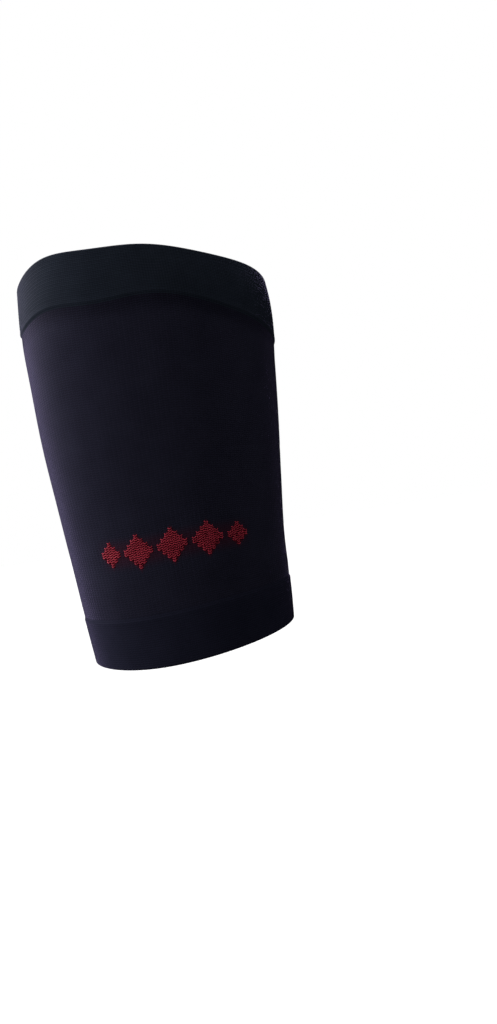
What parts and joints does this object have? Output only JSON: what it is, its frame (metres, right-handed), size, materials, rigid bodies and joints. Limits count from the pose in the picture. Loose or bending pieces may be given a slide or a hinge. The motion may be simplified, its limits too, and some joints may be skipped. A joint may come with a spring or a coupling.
{
  "type": "thigh compression sleeve",
  "caption": "Ribbed knit tube, open at both ends, that tapers from a turned upper band to a flatter lower band and squeezes the thigh it is pulled onto.",
  "frame": {"origin": "on the thigh's axis, halfway along the sleeve, where the thigh that wears it fills it", "axes": "+Z along the thigh's axis towards the hip, -Y to the front of the thigh, +X to the inner side of a right thigh"},
  "size_m": [0.1584, 0.1616, 0.2403],
  "materials": {
    "body_knit": "fine ribbed elastic knit, near black with a faint violet sheen",
    "upper_band_knit": "turned double knit with inlaid elastic rows, blue-black",
    "lower_band_knit": "turned knit, near black",
    "motif_knit": "red yarn knitted into the body's front"
  },
  "bodies": {
    "root": {"sleeve_body": "body_knit", "upper_band": "upper_band_knit", "lower_band": "lower_band_knit"}
  },
  "joints": []
}
